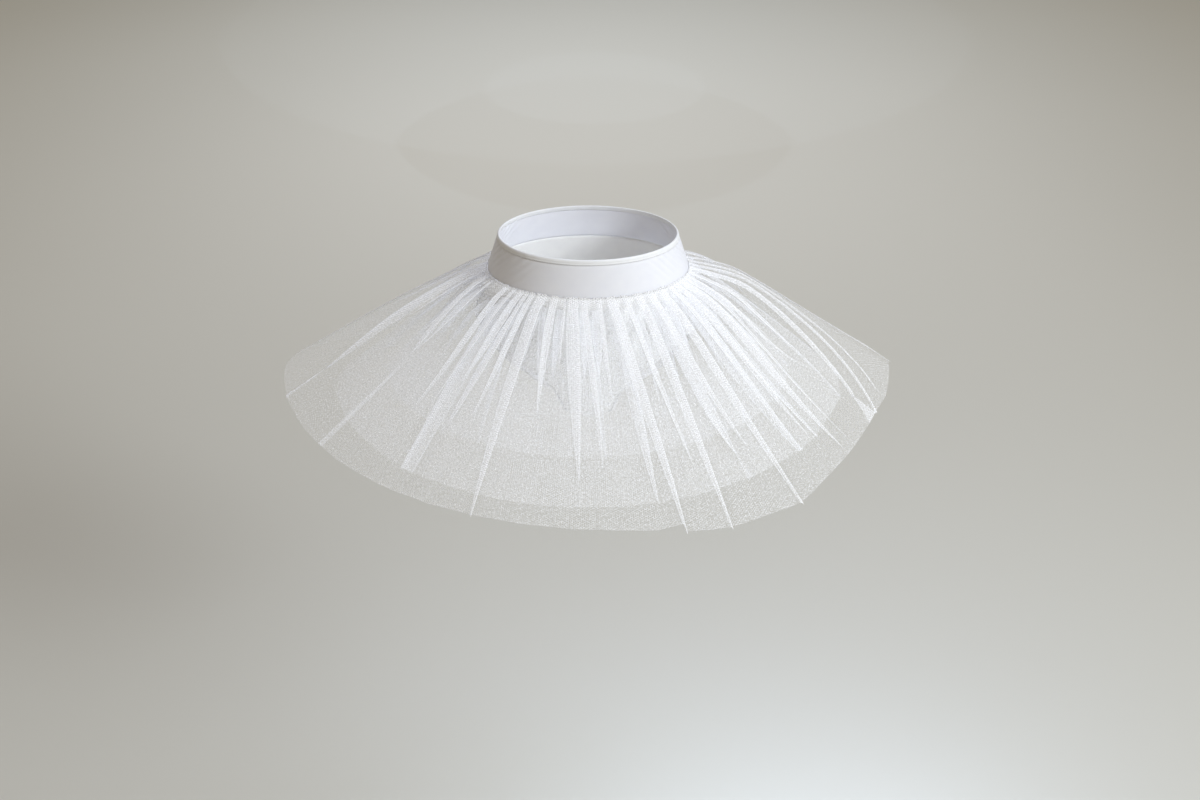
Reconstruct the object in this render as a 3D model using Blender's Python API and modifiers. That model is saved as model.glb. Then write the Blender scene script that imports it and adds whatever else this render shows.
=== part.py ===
"""Ballet tutu as it is worn: a stretch waistband and brief, and three gathered tulle skirts.

The garment is hollow and keeps the form of a general figure. Metres, +Z up. The origin is the
centre of the waistband's top edge, -Y is the front and +X the side at the right of the front view.
A "turn" is the angle round the figure, 0 at centre front and 90 degrees at +X. A "drop" is a
height below the waistband's top edge.
"""

import math
from collections import namedtuple

import bmesh
import bpy
from mathutils import Vector

# ---------------------------------------------------------------- the figure
WAIST_HALF_WIDTH = 0.121
BAND_FOOT_HALF_WIDTH = 0.137
DEPTH_RATIO = 0.78  # every ring's front-to-back depth over its width
SEAM_GAP = 0.0003  # pieces stand this far apart where they are sewn

# ---------------------------------------------------------------- waistband
BAND_DROP = 0.050
BAND_WALL = 0.0018
CASING_DROP = 0.0065  # the turned top edge, with its elastic
CASING_WALL = 0.0030
BAND_COLUMNS = 64
BAND_ROWS = 3

# ---------------------------------------------------------------- skirts
TULLE_WALL = 0.0010
HEAD_CLEARANCE = 0.0020  # from the figure to the mid-line of a skirt's gathered head
HEAD_SLOPE = 22  # degrees below level at which the gathers leave the figure
HEAD_BEND = 0.025  # length of cloth over which they bend down to the skirt's own slope
HEAD_RISE = 0.35  # height of a pleat at its stitched head, over its full height
FOLD_RISE = 1.7  # height of a fold that runs on to the hem, over a pleat's
FULL_RISE_AT = 0.10  # share of the length at which a pleat has its full height
SIDE_SEAM_GAP = 0.0006  # between the front and back lengths, measured along the ring
PROFILE_STEPS = 40  # steps of the sum that lays a profile out

Skirt = namedtuple("Skirt", "name drop length pleats rise reach sections")
SKIRTS = (
    Skirt("top", 0.0503, 0.318, 48, 0.0070, 0.62, (0, 0.05, 0.14, 0.34, 0.64, 1)),
    Skirt("middle", 0.0640, 0.262, 40, 0.0060, 0.60, (0, 0.06, 0.20, 0.55, 1)),
    Skirt("lower", 0.0770, 0.180, 32, 0.0050, 0.70, (0, 0.08, 0.25, 0.60, 1)),
)

# Degrees below level at which each skirt hangs, all the way round. The +X side stands higher.
SLOPE_TURNS = 30
Slope = namedtuple("Slope", "turn top middle lower")
SLOPES = (
    Slope(-180, 49, 56, 63),
    Slope(-150, 47, 54, 61),
    Slope(-120, 39, 47, 55),
    Slope(-90, 30, 39, 47),
    Slope(-60, 36, 44, 52),
    Slope(-30, 40, 49, 57),
    Slope(0, 41, 51, 60),
    Slope(30, 41, 49, 57),
    Slope(60, 36, 44, 52),
    Slope(90, 30, 38, 46),
    Slope(120, 35, 44, 53),
    Slope(150, 46, 53, 60),
    Slope(180, 49, 56, 63),
)

# Folds that run on to the hem, by the turn at which they lie.
Fold = namedtuple("Fold", "skirt turn reach")
FOLDS = (
    Fold("top", -84, 1.6),
    Fold("top", -30, 1.4),
    Fold("top", 22, 1.5),
    Fold("top", 33, 1.4),
    Fold("top", 54, 1.2),
    Fold("top", 75, 1.6),
    Fold("top", 88, 1.3),
    Fold("top", 118, 1.4),
    Fold("top", 149, 1.5),
    Fold("top", 173, 1.3),
    Fold("top", -161, 1.5),
    Fold("top", -127, 1.4),
    Fold("top", -106, 1.2),
    Fold("middle", -52, 1.5),
    Fold("middle", -3, 1.2),
    Fold("middle", 18, 1.4),
    Fold("middle", 61, 1.6),
    Fold("middle", 104, 1.3),
    Fold("middle", 142, 1.4),
    Fold("middle", -146, 1.5),
    Fold("middle", -112, 1.3),
    Fold("lower", -34, 1.3),
    Fold("lower", 41, 1.3),
    Fold("lower", 127, 1.3),
    Fold("lower", -133, 1.3),
)

# One pleat across its pitch: a long rise to the fold, then a steep return under it.
Phase = namedtuple("Phase", "across height")
PLEAT = (Phase(0.0, 0.0), Phase(0.40, 0.45), Phase(0.74, 1.0), Phase(0.88, 0.42))

# ---------------------------------------------------------------- brief
BRIEF_WALL = 0.0012
BRIEF_COLUMNS = 18
GUSSET_COLUMNS = 8
BRIEF_STEPS = 2  # rows between two rows of a table below
BINDING_WIDTH = 0.007
BINDING_WALL = 0.0010
BINDING_LIFT = 0.0007  # clear of the panels it lies on

# A row runs from edge to edge: its middle (y, z), its +X edge (x, y, z) and the degrees it wraps
# round from the middle to an edge (90 is half an ellipse).
Row = namedtuple("Row", "mid_y mid_z edge_x edge_y edge_z wrap")
BRIEF_FRONT = (
    Row(-0.1069, -0.0503, 0.1371, -0.0003, -0.0503, 90),
    Row(-0.1141, -0.0790, 0.1463, -0.0003, -0.0790, 90),
    Row(-0.1180, -0.1050, 0.1500, -0.0003, -0.1040, 90),
    Row(-0.1205, -0.1330, 0.1440, -0.0430, -0.1150, 80),
    Row(-0.1200, -0.1620, 0.1120, -0.0860, -0.1300, 65),
    Row(-0.1130, -0.1920, 0.0740, -0.1010, -0.1520, 50),
    Row(-0.0980, -0.2190, 0.0470, -0.0940, -0.1850, 45),
    Row(-0.0740, -0.2410, 0.0370, -0.0700, -0.2220, 45),
    Row(-0.0400, -0.2560, 0.0340, -0.0385, -0.2480, 45),
)
BRIEF_GUSSET = (
    Row(-0.0394, -0.2562, 0.0340, -0.0379, -0.2482, 45),
    Row(-0.0180, -0.2620, 0.0330, -0.0170, -0.2565, 45),
    Row(0.0050, -0.2655, 0.0330, 0.0050, -0.2612, 45),
    Row(0.0274, -0.2679, 0.0345, 0.0264, -0.2639, 45),
)
BRIEF_BACK = (
    Row(0.1069, -0.0503, 0.1371, 0.0003, -0.0503, 90),
    Row(0.1141, -0.0790, 0.1463, 0.0003, -0.0790, 90),
    Row(0.1230, -0.1080, 0.1500, 0.0003, -0.1040, 90),
    Row(0.1330, -0.1420, 0.1560, 0.0330, -0.1350, 85),
    Row(0.1390, -0.1780, 0.1510, 0.0680, -0.1780, 75),
    Row(0.1370, -0.2130, 0.1300, 0.0900, -0.2230, 65),
    Row(0.1240, -0.2430, 0.1000, 0.0930, -0.2530, 55),
    Row(0.0980, -0.2620, 0.0700, 0.0790, -0.2680, 45),
    Row(0.0620, -0.2690, 0.0450, 0.0530, -0.2690, 45),
    Row(0.0280, -0.2680, 0.0345, 0.0270, -0.2640, 45),
)
LEG_LINE_STARTS = 2  # row at which the side seam ends and the leg opening begins


# ---------------------------------------------------------------- scene and materials
def clear_scene():
    for obj in list(bpy.data.objects):
        bpy.data.objects.remove(obj, do_unlink=True)


def cloth_material(name, colour, roughness):
    material = bpy.data.materials.new(name)
    material.use_nodes = True
    shader = material.node_tree.nodes["Principled BSDF"]
    shader.inputs["Base Color"].default_value = (*colour, 1.0)
    shader.inputs["Roughness"].default_value = roughness
    shader.inputs["Metallic"].default_value = 0.0
    return material


# ---------------------------------------------------------------- shared geometry
def on_curve(values, at):
    """Value at a place along evenly spaced values, on a smooth curve that never swings past them."""
    last = len(values) - 1
    i = min(int(at), last - 1)
    share = at - i

    def slope(j):
        before = values[j] - values[max(j - 1, 0)]
        after = values[min(j + 1, last)] - values[j]
        if j in (0, last):
            return before + after
        return 2 * before * after / (before + after) if before * after > 0 else 0.0

    square, cube = share**2, share**3
    return (
        (2 * cube - 3 * square + 1) * values[i]
        + (cube - 2 * square + share) * slope(i)
        + (3 * square - 2 * cube) * values[i + 1]
        + (cube - square) * slope(i + 1)
    )


def figure_half_width(drop):
    """Half width of the figure at a height in or just under the waistband."""
    flare = (BAND_FOOT_HALF_WIDTH - WAIST_HALF_WIDTH) / BAND_DROP
    return WAIST_HALF_WIDTH + flare * drop


def ring_point(half_width, turn, z, outward=0.0):
    """A point on a ring of the figure, moved outward square to the ring."""
    half_depth = half_width * DEPTH_RATIO
    out = Vector((math.sin(turn) / half_width, -math.cos(turn) / half_depth, 0)).normalized()
    on_ring = Vector((half_width * math.sin(turn), -half_depth * math.cos(turn), z))
    return on_ring + out * outward


def grid_mesh(name, rows, closed_across=False, closed_along=False):
    """Mesh of a loft through rows of points."""
    mesh = bpy.data.meshes.new(name)
    work = bmesh.new()
    vertices = [[work.verts.new(point) for point in row] for row in rows]
    count, width = len(rows), len(rows[0])
    for i in range(count if closed_along else count - 1):
        upper, lower = vertices[i], vertices[(i + 1) % count]
        for j in range(width if closed_across else width - 1):
            k = (j + 1) % width
            work.faces.new((upper[j], lower[j], lower[k], upper[k]))
    bmesh.ops.recalc_face_normals(work, faces=work.faces)
    work.to_mesh(mesh)
    work.free()
    return mesh


def add_piece(name, mesh, material, collection):
    mesh.materials.append(material)
    mesh.shade_smooth()
    piece = bpy.data.objects.new(name, mesh)
    collection.objects.link(piece)
    return piece


def thicken(piece, wall):
    """Gives an open surface its wall, half to each side."""
    solidify = piece.modifiers.new("wall", "SOLIDIFY")
    solidify.thickness = wall
    solidify.offset = 0.0
    solidify.use_even_offset = True


# ---------------------------------------------------------------- waistband
def make_waistband(material, collection):
    """The wide stretch band, from the casing down to the skirts' seam."""
    top = CASING_DROP + SEAM_GAP
    foot = BAND_DROP - SEAM_GAP
    rows = []
    for i in range(BAND_ROWS + 1):
        drop = top + (foot - top) * i / BAND_ROWS
        half_width = figure_half_width(drop)
        turns = [math.tau * j / BAND_COLUMNS for j in range(BAND_COLUMNS)]
        rows.append([ring_point(half_width, turn, -drop, -BAND_WALL / 2) for turn in turns])
    band = add_piece("waistband", grid_mesh("waistband", rows, closed_across=True), material, collection)
    thicken(band, BAND_WALL)


def make_casing(material, collection):
    """The turned top edge: a soft flat roll with the elastic inside it."""
    section_points = 8
    corner = 0.55  # how square the roll is: 1 is an ellipse, 0 a rectangle
    middle = CASING_DROP / 2
    half_width = figure_half_width(middle)
    rows = []
    for j in range(BAND_COLUMNS):
        turn = math.tau * j / BAND_COLUMNS
        section = []
        for k in range(section_points):
            angle = math.tau * (k + 0.5) / section_points
            side, rise = math.cos(angle), math.sin(angle)
            outward = math.copysign(abs(side) ** corner, side) * CASING_WALL / 2
            up = math.copysign(abs(rise) ** corner, rise) * CASING_DROP / 2
            lean = -up * (BAND_FOOT_HALF_WIDTH - WAIST_HALF_WIDTH) / BAND_DROP
            section.append(ring_point(half_width, turn, up - middle, outward + lean - BAND_WALL / 2))
        rows.append(section)
    mesh = grid_mesh("waist_casing", rows, closed_across=True, closed_along=True)
    add_piece("waist_casing", mesh, material, collection)


# ---------------------------------------------------------------- skirts
def profile(skirt, turn):
    """(distance out from the head, drop below it) at each section of a skirt, at one turn."""
    hangs = [getattr(row, skirt.name) for row in SLOPES]
    hang = on_curve(hangs, (math.degrees(turn) - SLOPES[0].turn) / SLOPE_TURNS)
    step = skirt.length / PROFILE_STEPS
    out, down = 0.0, 0.0
    found = [(0.0, 0.0, math.radians(HEAD_SLOPE))]
    for i in range(PROFILE_STEPS):
        length = (i + 0.5) * step
        slope = math.radians(hang - (hang - HEAD_SLOPE) * math.exp(-length / HEAD_BEND))
        out += step * math.cos(slope)
        down += step * math.sin(slope)
        found.append((out, down, slope))
    return [found[round(share * PROFILE_STEPS)] for share in skirt.sections]


def pleat_form(skirt, pleat):
    """(height, share of the length at which it has opened out flat) of one pleat."""
    pitch = 360 / skirt.pleats
    middle = -180 + (pleat + 0.5) * pitch
    for fold in FOLDS:
        if fold.skirt == skirt.name and abs(fold.turn - middle) <= pitch / 2:
            return skirt.rise * FOLD_RISE, fold.reach
    uneven = 0.12 * math.sin(2.4 * pleat) + 0.08 * math.cos(5.1 * pleat)
    return skirt.rise * (1 - uneven), skirt.reach * (1 + uneven)


def skirt_column(skirt, turn, rise, reach):
    """Points from head to hem at one turn, raised off the skirt by a pleat's height there."""
    half_width = figure_half_width(skirt.drop)
    points = []
    for share, (out, down, slope) in zip(skirt.sections, profile(skirt, turn)):
        opened = max(0.0, 1 - share / reach) ** 0.8
        grown = min(1.0, HEAD_RISE + (1 - HEAD_RISE) * share / FULL_RISE_AT)
        lift = rise * opened * grown
        outward = HEAD_CLEARANCE + out + lift * math.sin(slope)
        up = lift * math.cos(slope) - down - skirt.drop - TULLE_WALL
        points.append(ring_point(half_width, turn, up, outward))
    return points


def make_skirt_length(skirt, side, first, material, collection):
    """One of a skirt's two lengths of tulle, from side seam to side seam."""
    pitch = math.tau / skirt.pleats
    count = skirt.pleats // 2
    seam = SIDE_SEAM_GAP / 2 / figure_half_width(skirt.drop)
    columns = [(first * pitch + seam, 0.0, 1.0)]
    for pleat in range(first, first + count):
        rise, reach = pleat_form(skirt, pleat % skirt.pleats)
        columns += [((pleat + phase.across) * pitch, rise * phase.height, reach) for phase in PLEAT]
    columns.append(((first + count) * pitch - seam, 0.0, 1.0))
    del columns[1]
    rows = []
    for along, rise, reach in columns:
        turn = along % math.tau - math.pi
        rows.append(skirt_column(skirt, turn, rise, reach))
    name = f"{skirt.name}_skirt_{side}"
    thicken(add_piece(name, grid_mesh(name, rows), material, collection), TULLE_WALL)


def make_skirts(material, collection):
    for skirt in SKIRTS:
        quarter = skirt.pleats // 4
        make_skirt_length(skirt, "front", quarter, material, collection)
        make_skirt_length(skirt, "back", quarter + skirt.pleats // 2, material, collection)


# ---------------------------------------------------------------- brief
def between_rows(table, steps):
    """The table's rows with more rows between them, on smooth curves."""
    columns = list(zip(*table))
    count = (len(table) - 1) * steps + 1
    return [Row(*(on_curve(column, i / steps) for column in columns)) for i in range(count)]


def across_row(row, across):
    """A point of a row, from -1 at the -X edge to 1 at the +X edge."""
    wrap = math.radians(row.wrap)
    bow = (math.cos(across * wrap) - math.cos(wrap)) / (1 - math.cos(wrap))
    return Vector((
        row.edge_x * math.sin(across * wrap) / math.sin(wrap),
        row.edge_y + (row.mid_y - row.edge_y) * bow,
        row.edge_z + (row.mid_z - row.edge_z) * bow,
    ))


def binding_starts(row):
    """Where along a row the +X leg binding's inner edge lies."""
    inner, outer = 0.0, 1.0
    for _ in range(20):
        across = (inner + outer) / 2
        if (across_row(row, 1) - across_row(row, across)).length < BINDING_WIDTH:
            outer = across
        else:
            inner = across
    return outer


def brief_row_points(row, columns):
    """A row's points, with one on the inner edge of each leg binding."""
    inner = binding_starts(row)
    steps = columns - 2
    middle = [inner * (2 * j / steps - 1) for j in range(steps + 1)]
    return [across_row(row, across) for across in [-1.0, *middle, 1.0]]


def brief_rows(table, columns):
    return [brief_row_points(row, columns) for row in between_rows(table, BRIEF_STEPS)]


def make_brief_panel(name, table, columns, material, collection):
    rows = brief_rows(table, columns)
    thicken(add_piece(name, grid_mesh(name, rows), material, collection), BRIEF_WALL)


def leg_line():
    """The panels' own outermost points round the +X leg opening: (edge, inner, normal)."""
    loop = []
    for table, columns, way in (
        (BRIEF_FRONT, BRIEF_COLUMNS, 1),
        (BRIEF_GUSSET, GUSSET_COLUMNS, 1),
        (BRIEF_BACK, BRIEF_COLUMNS, -1),
    ):
        first = 0 if table is BRIEF_GUSSET else LEG_LINE_STARTS * BRIEF_STEPS
        rows = brief_rows(table, columns)[first:][::way]
        for i, row in enumerate(rows):
            ahead, behind = rows[min(i + 1, len(rows) - 1)], rows[max(i - 1, 0)]
            normal = (row[-3] - row[-1]).cross(ahead[-2] - behind[-2]).normalized()
            loop.append((row[-1], row[-2], normal))
    return loop


def make_binding(name, mirror, material, collection):
    """A narrow turned edge on the outside of one leg opening."""
    near = BRIEF_WALL / 2 + BINDING_LIFT
    far = near + BINDING_WALL
    rows = []
    for edge, inner, normal in leg_line():
        section = (edge + normal * near, inner + normal * near, inner + normal * far, edge + normal * far)
        rows.append([Vector((point.x * mirror, point.y, point.z)) for point in section])
    mesh = grid_mesh(name, rows, closed_across=True, closed_along=True)
    add_piece(name, mesh, material, collection)


def make_brief(material, collection):
    make_brief_panel("brief_front", BRIEF_FRONT, BRIEF_COLUMNS, material, collection)
    make_brief_panel("brief_gusset", BRIEF_GUSSET, GUSSET_COLUMNS, material, collection)
    make_brief_panel("brief_back", BRIEF_BACK, BRIEF_COLUMNS, material, collection)
    make_binding("leg_binding_right", 1, material, collection)
    make_binding("leg_binding_left", -1, material, collection)


# ---------------------------------------------------------------- the garment
def main():
    clear_scene()
    collection = bpy.data.collections.new("ballet_tutu")
    bpy.context.scene.collection.children.link(collection)
    knit = cloth_material("stretch_knit", (0.93, 0.93, 0.96), 0.55)
    tulle = cloth_material("tulle", (0.95, 0.95, 0.95), 0.75)
    make_casing(knit, collection)
    make_waistband(knit, collection)
    make_brief(knit, collection)
    make_skirts(tulle, collection)


main()
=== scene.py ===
# %% [markdown]
# # A ballet tutu
# A practice tutu has few pieces: a wide stretch band with a turned top edge, a brief sewn into
# it, and skirts of gathered tulle, each shorter than the one above it. The solid model comes
# from the frame and fixes every size. This script gives each piece its cloth.

import math
from collections import namedtuple

import bmesh
import bpy
import numpy as np
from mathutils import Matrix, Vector


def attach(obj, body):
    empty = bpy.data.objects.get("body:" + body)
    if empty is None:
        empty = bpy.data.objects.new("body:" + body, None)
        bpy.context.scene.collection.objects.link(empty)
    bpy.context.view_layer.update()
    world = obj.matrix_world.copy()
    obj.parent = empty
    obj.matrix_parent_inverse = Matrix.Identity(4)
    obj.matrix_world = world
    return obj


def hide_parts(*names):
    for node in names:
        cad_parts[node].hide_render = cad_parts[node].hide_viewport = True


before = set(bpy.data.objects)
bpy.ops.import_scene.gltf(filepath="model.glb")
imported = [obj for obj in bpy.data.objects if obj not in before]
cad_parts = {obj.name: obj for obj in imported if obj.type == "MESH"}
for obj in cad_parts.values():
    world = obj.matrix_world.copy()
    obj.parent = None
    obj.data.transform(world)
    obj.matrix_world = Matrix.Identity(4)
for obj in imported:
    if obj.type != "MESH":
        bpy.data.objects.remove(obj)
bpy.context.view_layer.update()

# %% [markdown]
# ## Camera
# A long lens looks down on the tutu by 28 degrees, so that the ring of the waistband shows as
# an open ellipse. The camera is placed from where the centre of the band's top edge should
# stand in the view: a little left of the middle, and above it.

# %% Camera
VIEW_DOWN = math.radians(28)
FOCAL_LENGTH, SENSOR_WIDTH = 58.05, 36  # mm
BAND_CENTRE_IN_VIEW = Vector((-0.0161, 0.2258, 2.6006))  # right, up and ahead of the camera

ahead = Vector((0, math.cos(VIEW_DOWN), -math.sin(VIEW_DOWN)))
up = Vector((0, math.sin(VIEW_DOWN), math.cos(VIEW_DOWN)))
right = Vector((1, 0, 0))
camera_data = bpy.data.cameras.new("camera")
camera_data.lens = FOCAL_LENGTH
camera_data.sensor_width = SENSOR_WIDTH
camera = bpy.data.objects.new("camera", camera_data)
bpy.context.scene.collection.objects.link(camera)
across_view, up_view, depth = BAND_CENTRE_IN_VIEW
camera.location = -(right * across_view + up * up_view + ahead * depth)
camera.rotation_euler = (math.pi / 2 - VIEW_DOWN, 0, 0)
bpy.context.scene.camera = camera
print("camera stands at", [round(value, 3) for value in camera.location])

# %% [markdown]
# ## Light and floor
# One large soft lamp, the key, stands high on the right. It leaves the left end of the band in a
# warm shade, which tells the eye that the band is round. A weak cool lamp overhead lifts the far
# side of the net. The floor is where a dancer's feet would be, so far below that it only makes a
# plain backdrop, and three weak lamps even out its tone. A dim warm sky fills the shade.

# %% Floor
FLOOR_DROP = 1.02
FLOOR_HALF_SIZE = 14.0


def link(name, mesh):
    """A new object for a mesh."""
    obj = bpy.data.objects.new(name, mesh)
    bpy.context.scene.collection.objects.link(obj)
    return obj


floor_mesh = bpy.data.meshes.new("floor")
corner_signs = ((-1, -1), (1, -1), (1, 1), (-1, 1))
corners = [(x * FLOOR_HALF_SIZE, y * FLOOR_HALF_SIZE, -FLOOR_DROP) for x, y in corner_signs]
floor_mesh.from_pydata(corners, [], [(0, 1, 2, 3)])
floor = link("floor", floor_mesh)
print("floor lies", FLOOR_DROP, "m below the waist")

# %% Lamps
Lamp = namedtuple("Lamp", "name place aim size spread watts colour")
LAMPS = (
    Lamp("key", (2.92, -2.28, 1.97), (0, 0, 0), 1.3, 180, 129, (0.92, 0.98, 1.0)),
    Lamp("overhead", (0.2, 0.5, 2.3), (0, 0, 0), 1.6, 180, 22.5, (0.66, 0.77, 1.0)),
    Lamp("backdrop", (0.0, 3.1, 1.6), (0.0, 3.1, -1.0), 2.2, 90, 7.3, (0.95, 0.96, 1.0)),
    Lamp("far", (0.0, 4.2, 1.6), (0.0, 4.2, -1.0), 2.0, 110, 10.5, (0.70, 0.84, 1.0)),
    Lamp("low", (0.3, -0.62, -0.55), (0.3, -0.15, -1.02), 0.6, 95, 2.2, (0.7, 0.82, 1.0)),
)
for lamp in LAMPS:
    light = bpy.data.lights.new(lamp.name, "AREA")
    light.size = lamp.size
    light.spread = math.radians(lamp.spread)
    light.energy = lamp.watts
    light.color = lamp.colour
    holder = bpy.data.objects.new(lamp.name, light)
    holder.location = lamp.place
    holder.rotation_euler = (Vector(lamp.place) - Vector(lamp.aim)).to_track_quat("Z", "Y").to_euler()
    bpy.context.scene.collection.objects.link(holder)
print(len(LAMPS), "lamps,", round(sum(lamp.watts for lamp in LAMPS), 1), "W in all")

# %% Sky, and how the view is shown
SKY_TONE, SKY_STRENGTH = (1.0, 0.875, 0.655, 1), 0.327
NETS_IN_A_ROW = 64  # layers of net that a ray may pass

world = bpy.data.worlds.new("studio")
world.use_nodes = True
sky = world.node_tree.nodes["Background"].inputs
sky["Color"].default_value = SKY_TONE
sky["Strength"].default_value = SKY_STRENGTH
bpy.context.scene.world = world
bpy.context.scene.view_settings.view_transform = "Standard"
bpy.context.scene.cycles.transparent_max_bounces = NETS_IN_A_ROW
print("sky at", SKY_STRENGTH, "and up to", NETS_IN_A_ROW, "nets in a row")

# %% [markdown]
# ## Node groups
# The weave of a cloth could be painted on, but a pattern made from numbers stays sharp from close
# by and needs no image. The knit group makes the tiny ribs of a stretch fabric, for the band, its
# edges and the brief. The net group makes the six-sided holes of tulle: three waves at 60 degrees
# to each other add up to a pattern with a peak in each hole. Both take their scale in metres.

# %% Helper: a new node group
def new_group(name, numbers, outputs):
    """An empty shader node group, which takes a Vector and named numbers, and gives named numbers."""
    tree = bpy.data.node_groups.new(name, "ShaderNodeTree")
    tree.interface.new_socket("Vector", in_out="INPUT", socket_type="NodeSocketVector")
    for label, value in numbers.items():
        socket = tree.interface.new_socket(label, in_out="INPUT", socket_type="NodeSocketFloat")
        socket.default_value = value
    for label in outputs:
        tree.interface.new_socket(label, in_out="OUTPUT", socket_type="NodeSocketFloat")
    return tree, tree.nodes.new("NodeGroupInput").outputs, tree.nodes.new("NodeGroupOutput").inputs


# %% Helpers: nodes that work out a number
def put(tree, value, socket):
    """Feeds a socket from another socket, or sets it to a number."""
    if isinstance(value, bpy.types.NodeSocket):
        tree.links.new(value, socket)
    else:
        socket.default_value = value


def calc(tree, operation, *values, clamp=False):
    """A Math node's result."""
    node = tree.nodes.new("ShaderNodeMath")
    node.operation = operation
    node.use_clamp = clamp
    for value, socket in zip(values, node.inputs):
        put(tree, value, socket)
    return node.outputs[0]


def remap(tree, value, low, high, to_low, to_high):
    """A value moved from one range to another, with soft ends."""
    node = tree.nodes.new("ShaderNodeMapRange")
    node.interpolation_type = "SMOOTHSTEP"
    for given, socket in zip((value, low, high, to_low, to_high), node.inputs):
        put(tree, given, socket)
    return node.outputs[0]


def split_vector(tree, vector):
    """A vector's X, Y and Z."""
    node = tree.nodes.new("ShaderNodeSeparateXYZ")
    put(tree, vector, node.inputs[0])
    return node.outputs


def noise(tree, vector, scale, detail=2.0):
    """Noise from 0 to 1 with this many cells to the metre."""
    node = tree.nodes.new("ShaderNodeTexNoise")
    put(tree, vector, node.inputs["Vector"])
    put(tree, scale, node.inputs["Scale"])
    node.inputs["Detail"].default_value = detail
    return node.outputs["Fac"]


# %% Net group
THREAD_PEAK, HOLE_PEAK = -1.2, 0.6  # sum of the three waves on a thread, and in a hole
NET_MOTTLE = 340.0  # patches of denser and thinner net to the metre

net, given, result = new_group(
    "Net", {"Hole Size": 0.0013, "Hole Cover": 0.1, "Thread Cover": 0.6, "Unevenness": 0.1}, ("Cover",)
)
split = split_vector(net, given["Vector"])
turns_per_metre = calc(net, "DIVIDE", math.tau, given["Hole Size"])
waves = []
for angle in (0, 60, 120):
    across = calc(net, "MULTIPLY", split["X"], math.cos(math.radians(angle)))
    along = calc(net, "MULTIPLY", split["Y"], math.sin(math.radians(angle)))
    distance = calc(net, "ADD", across, along)
    waves.append(calc(net, "COSINE", calc(net, "MULTIPLY", distance, turns_per_metre)))
peak = calc(net, "ADD", calc(net, "ADD", waves[0], waves[1]), waves[2])
cover = remap(net, peak, THREAD_PEAK, HOLE_PEAK, given["Thread Cover"], given["Hole Cover"])
uneven = calc(net, "SUBTRACT", noise(net, given["Vector"], NET_MOTTLE), 0.5)
cover = calc(net, "ADD", cover, calc(net, "MULTIPLY", uneven, given["Unevenness"]), clamp=True)
put(net, cover, result["Cover"])
print("Net group:", len(net.nodes), "nodes")

# %% Knit group
LOOPS_TO_RIBS, LOOP_HEIGHT = 1.3, 0.4  # the rows of loops that cross the ribs
KNIT_MOTTLE = 60.0  # patches to the metre

knit, given, result = new_group("Knit", {"Rib Width": 0.0006, "Softness": 0.5}, ("Height", "Shade"))
split = split_vector(knit, given["Vector"])
ribs_per_metre = calc(knit, "DIVIDE", math.tau, given["Rib Width"])
loops_per_metre = calc(knit, "MULTIPLY", ribs_per_metre, LOOPS_TO_RIBS)
rib = calc(knit, "SINE", calc(knit, "MULTIPLY", split["X"], ribs_per_metre))
loop = calc(knit, "SINE", calc(knit, "MULTIPLY", split["Y"], loops_per_metre))
weave = calc(knit, "MULTIPLY", calc(knit, "ADD", rib, calc(knit, "MULTIPLY", loop, LOOP_HEIGHT)), 0.5)
cloud = noise(knit, given["Vector"], KNIT_MOTTLE, 3.0)
put(knit, calc(knit, "ADD", weave, calc(knit, "MULTIPLY", cloud, given["Softness"])), result["Height"])
put(knit, remap(knit, cloud, 0.2, 0.8, 0.0, 1.0), result["Shade"])
print("Knit group:", len(knit.nodes), "nodes")

# %% [markdown]
# ## Materials
# All the cloth is white. What differs is how it takes the light: the knit is smooth and dense,
# and the tulle lets most of the light through its holes. Where tulle is seen through several
# layers it looks whiter by itself, because its threads add up. At its creases the net is made
# whiter, partly for the doubled threads and partly as a painted highlight, and beside and
# inside the folds it is made thinner, as painted shade.

# %% Helpers: materials
def set_numbers(sockets, numbers):
    """Sets sockets by their names, with _ for a space."""
    for label, value in numbers.items():
        sockets[label.replace("_", " ")].default_value = value


def new_material(name, **numbers):
    """A material, its node tree and its shader, with plain numbers set on the shader."""
    material = bpy.data.materials.new(name)
    material.use_nodes = True
    shader = material.node_tree.nodes["Principled BSDF"]
    set_numbers(shader.inputs, numbers)
    return material, material.node_tree, shader


def use_group(tree, group, vector, **numbers):
    """Places a node group, with its own numbers."""
    node = tree.nodes.new("ShaderNodeGroup")
    node.node_tree = group
    put(tree, vector, node.inputs["Vector"])
    set_numbers(node.inputs, numbers)
    return node.outputs


def cloth_place(tree):
    """Place on the flat cloth, in metres."""
    node = tree.nodes.new("ShaderNodeUVMap")
    node.uv_map = "cloth"
    return node.outputs["UV"]


def mix_colour(tree, share, first, second):
    """One colour passing into another."""
    node = tree.nodes.new("ShaderNodeMix")
    node.data_type = "RGBA"
    put(tree, share, node.inputs["Factor"])
    for value, socket in ((first, node.inputs["A"]), (second, node.inputs["B"])):
        socket.default_value = (*value, 1)
    return node.outputs["Result"]


def add_bump(tree, shader, height, distance):
    """Relief too fine for the mesh, so many metres high."""
    node = tree.nodes.new("ShaderNodeBump")
    node.inputs["Distance"].default_value = distance
    put(tree, height, node.inputs["Height"])
    put(tree, node.outputs["Normal"], shader.inputs["Normal"])


# %% Knit materials
KNIT_RELIEF = 0.00003
KNIT_ROUGHNESS = (0.62, 0.5)  # where its mottle is dark, and where it is light


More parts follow.
